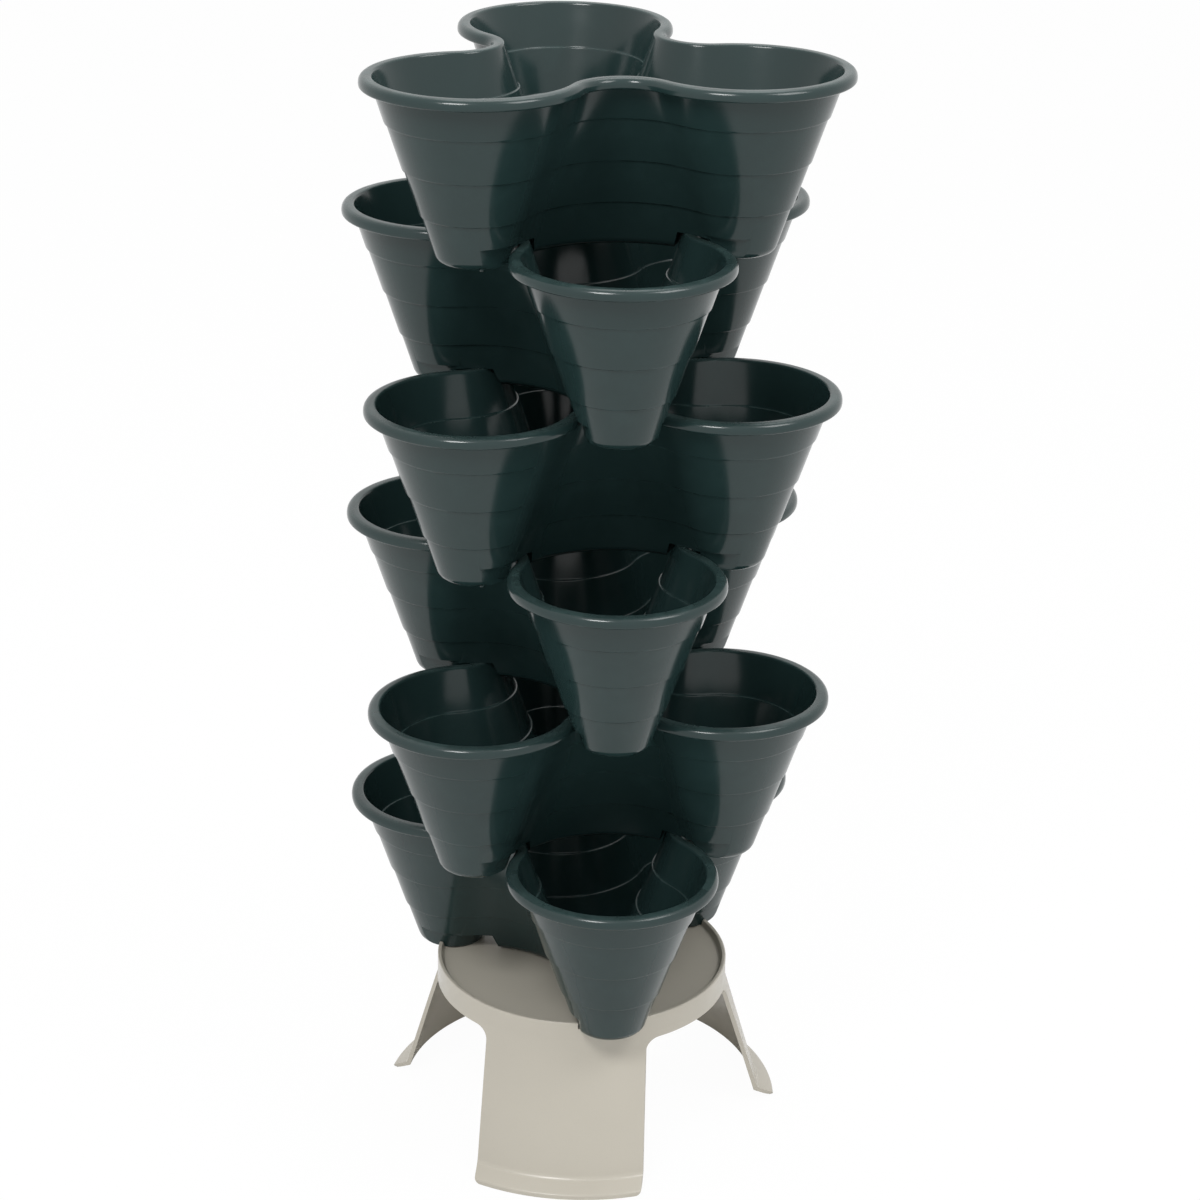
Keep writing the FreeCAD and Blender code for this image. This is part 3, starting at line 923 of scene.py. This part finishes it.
def uneven_colour() -> Tree:
    """A colour that drifts a little over the surface, with fine specks of pigment in it.

    Returns:
        The group.
    """
    tree, given, result = start_group(
        "uneven_colour",
        {"Place": "Vector", "Colour": "Color", "Patch Scale": "Float", "Drift": "Float",
         "Speck Scale": "Float", "Speck Strength": "Float"},
        {"Colour": "Color"},
    )
    patch = noise(tree, given["Place"], given["Patch Scale"], detail=3.0, roughness=0.55)
    drift = reckon(tree, "MULTIPLY_ADD", reckon(tree, "SUBTRACT", patch, 0.5), given["Drift"], 1.0)
    speck = noise(tree, given["Place"], given["Speck Scale"], detail=1.0, roughness=0.5)
    dots = soft_step(tree, speck, low=0.62, high=0.72)
    lift = reckon(tree, "MULTIPLY_ADD", dots, given["Speck Strength"], drift)
    shade = add_node(tree, "ShaderNodeVectorMath", {0: given["Colour"], "Scale": lift},
                     operation="SCALE")
    tree.links.new(shade.outputs[0], result.inputs["Colour"])
    return tree


def rubbed_edges() -> Tree:
    """Where handling has rubbed the edges: the mesh's edge value, broken up by patches.

    Returns:
        The group.
    """
    tree, given, result = start_group(
        "rubbed_edges", {"Place": "Vector", "Patch Scale": "Float"}, {"Mask": "Float"})
    edge = add_node(tree, "ShaderNodeAttribute", attribute_name="edge").outputs["Fac"]
    patch = noise(tree, given["Place"], given["Patch Scale"], detail=4.0, roughness=0.65)
    broken = soft_step(tree, patch, low=0.42, high=0.66)
    tree.links.new(reckon(tree, "MULTIPLY", edge, broken), result.inputs["Mask"])
    return tree


def settled_dust() -> Tree:
    """Dust that lies where the normal's z is between 0.5 and 1, broken up by patches.

    Returns:
        The group.
    """
    tree, given, result = start_group(
        "settled_dust", {"Place": "Vector", "Patch Scale": "Float"}, {"Mask": "Float"})
    normal = add_node(tree, "ShaderNodeNewGeometry").outputs["Normal"]
    upward = add_node(tree, "ShaderNodeSeparateXYZ", {0: normal}).outputs["Z"]
    patch = noise(tree, given["Place"], given["Patch Scale"], detail=5.0, roughness=0.7)
    mask = reckon(tree, "MULTIPLY", soft_step(tree, upward, low=0.5, high=1.0), patch)
    tree.links.new(mask, result.inputs["Mask"])
    return tree


@dataclass(frozen=True)
class MouldedPlastic:
    """A moulded plastic finish. Colours are linear, and scales are cycles per metre."""

    name: str
    colour: tuple[float, float, float]
    rubbed_colour: tuple[float, float, float]
    dust_colour: tuple[float, float, float]
    roughness: tuple[float, float]
    wave_scale: float
    grain_scale: float
    grain_share: float
    relief: float
    patch_scale: float
    drift: float
    speck_scale: float
    speck_strength: float
    rubbing: float
    dust: float
    dust_roughness: float = 0.25
    ior: float = 1.5

    def material(self, groups: dict[str, Tree]) -> bpy.types.Material:
        """Builds the material.

        Args:
            groups: the shared node groups by name.

        Returns:
            The material, which reads Object coordinates and the mesh's edge value.
        """
        material = bpy.data.materials.new(self.name)
        material.use_nodes = True
        tree = material.node_tree
        tree.nodes.clear()
        place = add_node(tree, "ShaderNodeTexCoord").outputs["Object"]

        def group(name: str, feeds: dict) -> bpy.types.Node:
            """A shared group that reads the surface's place."""
            feeds = {"Place": place, **feeds}
            return add_node(tree, "ShaderNodeGroup", feeds, node_tree=groups[name])

        def tinted(
            colour: Socket, over: tuple[float, float, float], mask: Socket, share: float
        ) -> Socket:
            """Lays a colour over another one.

            Args:
                colour: the output that holds the colour.
                over: the colour laid over it.
                mask: where it lies, from 0 to 1.
                share: how much of it the mask's 1 stands for.

            Returns:
                The output that holds the mixed colour.
            """
            amount = reckon(tree, "MULTIPLY", mask, share)
            # The node's inputs 6 and 7 and its output 2 are its colours.
            feeds = {"Factor": amount, 6: colour, 7: (*over, 1.0)}
            return add_node(tree, "ShaderNodeMix", feeds, data_type="RGBA").outputs[2]

        even = group("uneven_colour", {
            "Colour": (*self.colour, 1.0), "Patch Scale": self.patch_scale, "Drift": self.drift,
            "Speck Scale": self.speck_scale, "Speck Strength": self.speck_strength})
        rubbed = group("rubbed_edges", {"Patch Scale": 4 * self.patch_scale}).outputs["Mask"]
        dusty = group("settled_dust", {"Patch Scale": 2 * self.patch_scale}).outputs["Mask"]
        colour = tinted(even.outputs["Colour"], self.rubbed_colour, rubbed, self.rubbing)
        colour = tinted(colour, self.dust_colour, dusty, self.dust)
        low, high = self.roughness
        smudged = add_node(tree, "ShaderNodeMapRange", {
            "Value": noise(tree, place, 3 * self.patch_scale, detail=4.0, roughness=0.6),
            "From Min": 0.3, "From Max": 0.7, "To Min": low, "To Max": high})
        rough = reckon(tree, "MULTIPLY_ADD", dusty, self.dust_roughness, smudged.outputs["Result"])
        relief = group("moulded_relief", {
            "Wave Scale": self.wave_scale, "Grain Scale": self.grain_scale,
            "Grain Share": self.grain_share})
        bump = add_node(tree, "ShaderNodeBump", {
            "Height": relief.outputs["Height"], "Strength": 1.0, "Distance": self.relief})
        shader = add_node(tree, "ShaderNodeBsdfPrincipled", {
            "Base Color": colour, "Roughness": rough, "Normal": bump.outputs["Normal"],
            "IOR": self.ior})
        output = add_node(tree, "ShaderNodeOutputMaterial")
        tree.links.new(shader.outputs["BSDF"], output.inputs["Surface"])
        return material


POT_GREEN = MouldedPlastic(
    name="dark_green_gloss", colour=(0.0145, 0.0315, 0.0310), rubbed_colour=(0.030, 0.060, 0.059),
    dust_colour=(0.075, 0.085, 0.078), roughness=(0.13, 0.20), wave_scale=38.0, grain_scale=1500.0,
    grain_share=0.12, relief=0.00007, patch_scale=14.0, drift=0.35, speck_scale=2600.0,
    speck_strength=0.25, rubbing=0.6, dust=0.16, ior=1.44,
)

STAND_STONE = MouldedPlastic(
    name="stone_satin", colour=(0.462, 0.432, 0.368), rubbed_colour=(0.56, 0.53, 0.45),
    dust_colour=(0.33, 0.31, 0.26), roughness=(0.17, 0.25), wave_scale=45.0, grain_scale=1300.0,
    grain_share=0.45, relief=0.00010, patch_scale=11.0, drift=0.10, speck_scale=1800.0,
    speck_strength=-0.06, rubbing=0.5, dust=0.05,
)


@dataclass
class PlanterTower:
    """The stand and six pots, each turned against the one below by half the angle between cups."""

    pot: TrefoilPot = field(default_factory=TrefoilPot)
    stand: LegStand = field(default_factory=LegStand)
    tiers: int = 6
    first_cup: float = 270.0
    tier_turn: float = 60.0
    stand_turn: float = -18.0

    def build_stand(self, material: bpy.types.Material) -> None:
        """Makes the stand and dresses it.

        Args:
            material: the stand's finish.
        """
        mesh = self.stand.mesh()
        mesh.transform(Matrix.Rotation(np.radians(self.first_cup + self.stand_turn), 4, "Z"))
        dress(mesh, material)
        place_piece("flared_leg_stand", mesh, "stand", "three_legged_stand")

    def build_pots(self, material: bpy.types.Material) -> None:
        """Makes one pot and puts a copy of it at each tier's height and turn.

        Args:
            material: the pots' finish.
        """
        pattern = self.pot.mesh()
        dress(pattern, material)
        for tier in range(1, self.tiers + 1):
            node = f"pot_tier_{tier}"
            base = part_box(node)[0].z + self.pot.nub_drop
            turn = self.first_cup + self.tier_turn * (tier - 1)
            mesh = pattern.copy()
            turned = Matrix.Rotation(np.radians(turn), 4, "Z")
            mesh.transform(Matrix.Translation((0, 0, base)) @ turned)
            place_piece(f"trefoil_pot_{tier}", mesh, f"tier_{tier}", node)
        bpy.data.meshes.remove(pattern)


@dataclass(frozen=True)
class Softbox:
    """A soft square lamp: where it hangs, what point it faces, its width and its power in watts."""

    name: str
    place: tuple[float, float, float]
    aim: tuple[float, float, float]
    width: float
    power: float

    def build(self) -> None:
        """Hangs the lamp."""
        light = bpy.data.lights.new(self.name, "AREA")
        light.shape, light.size, light.energy = "SQUARE", self.width, self.power
        lamp = bpy.data.objects.new(self.name, light)
        lamp.location = self.place
        ray = Vector(self.aim) - Vector(self.place)
        lamp.rotation_euler = ray.to_track_quat("-Z", "Y").to_euler()
        bpy.context.scene.collection.objects.link(lamp)


@dataclass
class Studio:
    """A pale floor, soft lamps, a white surround and the camera.

    Gloss sees the floor as white beyond the second distance of reflected_white, and as it is lit
    within the first.
    """

    floor_size: float = 14.0
    floor_colour: tuple[float, float, float] = (0.86, 0.86, 0.86)
    seen_white: float = 0.97
    reflected_white: tuple[float, float] = (0.25, 0.80)
    world_light: float = 0.7
    lamps: tuple[Softbox, ...] = (
        Softbox("key_softbox", (-1.0, -1.45, 2.4), (0.0, 0.0, 0.3), 0.7, 31.0),
        Softbox("side_softbox", (1.2, -1.1, 2.5), (0.0, 0.0, 0.3), 1.0, 21.0),
        Softbox("top_softbox", (0.3, 0.8, 2.6), (0.0, 0.0, 0.5), 1.2, 12.0),
    )
    camera_place: tuple[float, float, float] = (-0.4303, -2.1120, 1.3249)
    heading: float = 11.784
    pitch: float = 22.5
    roll: float = 0.911
    lens: float = 91.83
    sensor: float = 36.0
    shift: float = 0.0023

    def seen_rays(self, tree: Tree, reflected: Socket | float = 1.0) -> Socket:
        """1 for rays from the camera, and a share for rays that a gloss or glass sends on.

        Args:
            tree: the material's or the world's tree.
            reflected: the share that reflected and transmitted rays get.

        Returns:
            The output that holds the value, which is 0 for all other rays.
        """
        rays = add_node(tree, "ShaderNodeLightPath").outputs
        sent_on = reckon(tree, "MAXIMUM", rays["Is Glossy Ray"], rays["Is Transmission Ray"])
        part = reckon(tree, "MULTIPLY", sent_on, reflected)
        return reckon(tree, "MAXIMUM", rays["Is Camera Ray"], part)

    def build_floor(self) -> None:
        """The floor, which shows white to the camera and to gloss, with a faint shadow left on it.

        Near the tower, gloss sees the floor as it is lit there, with the tower's own shadow.
        """
        corners = 0.5 * self.floor_size * np.array([[-1, -1, 0], [1, -1, 0], [1, 1, 0], [-1, 1, 0]])
        mesh = bpy.data.meshes.new("floor")
        mesh.from_pydata(corners, [], [[0, 1, 2, 3]])
        material = bpy.data.materials.new("studio_floor")
        material.use_nodes = True
        tree = material.node_tree
        tree.nodes.clear()
        matt = add_node(tree, "ShaderNodeBsdfDiffuse", {"Color": (*self.floor_colour, 1.0)})
        white = add_node(tree, "ShaderNodeEmission", {"Color": WHITE, "Strength": 1.0})
        place = add_node(tree, "ShaderNodeTexCoord").outputs["Object"]
        apart = add_node(tree, "ShaderNodeVectorMath", {0: place}, operation="LENGTH")
        clear = soft_step(tree, apart.outputs["Value"], *self.reflected_white)
        share = reckon(tree, "MULTIPLY", self.seen_rays(tree, clear), self.seen_white)
        mix = add_node(tree, "ShaderNodeMixShader",
                       {0: share, 1: matt.outputs[0], 2: white.outputs[0]})
        output = add_node(tree, "ShaderNodeOutputMaterial")
        tree.links.new(mix.outputs[0], output.inputs["Surface"])
        mesh.materials.append(material)
        floor = bpy.data.objects.new("studio_floor", mesh)
        bpy.context.scene.collection.objects.link(floor)

    def build_world(self) -> None:
        """The surround: plain light for the object, and white where it is seen."""
        world = bpy.data.worlds.new("studio")
        bpy.context.scene.world = world
        world.use_nodes = True
        tree = world.node_tree
        tree.nodes.clear()
        feeds = {"Factor": self.seen_rays(tree), "A": self.world_light, "B": 1.0}
        light = add_node(tree, "ShaderNodeMix", feeds, data_type="FLOAT")
        glow = add_node(tree, "ShaderNodeBackground",
                        {"Color": WHITE, "Strength": light.outputs["Result"]})
        output = add_node(tree, "ShaderNodeOutputWorld")
        tree.links.new(glow.outputs[0], output.inputs["Surface"])

    def build_camera(self) -> None:
        """The camera, turned by its heading about Z, tilted down by its pitch and rolled a little."""
        data = bpy.data.cameras.new("camera")
        data.lens, data.sensor_width, data.shift_y = self.lens, self.sensor, self.shift
        camera = bpy.data.objects.new("camera", data)
        camera.location = self.camera_place
        turn = (Quaternion((0, 0, 1), -np.radians(self.heading))
                @ Quaternion((1, 0, 0), np.radians(90.0 - self.pitch))
                @ Quaternion((0, 0, 1), np.radians(self.roll)))
        camera.rotation_euler = turn.to_euler()
        bpy.context.scene.collection.objects.link(camera)
        bpy.context.scene.camera = camera

    def build(self) -> None:
        """Sets up the whole studio."""
        bpy.context.scene.view_settings.view_transform = "Standard"
        self.build_camera()
        self.build_floor()
        self.build_world()
        for lamp in self.lamps:
            lamp.build()


def main() -> None:
    """Builds the tower and the studio."""
    logging.basicConfig(level=logging.INFO, format="%(name)s: %(message)s")
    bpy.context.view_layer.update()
    trees = (moulded_relief(), uneven_colour(), rubbed_edges(), settled_dust())
    groups = {tree.name: tree for tree in trees}
    tower = PlanterTower()
    tower.build_stand(STAND_STONE.material(groups))
    tower.build_pots(POT_GREEN.material(groups))
    Studio().build()


if __name__ == "__main__":
    main()
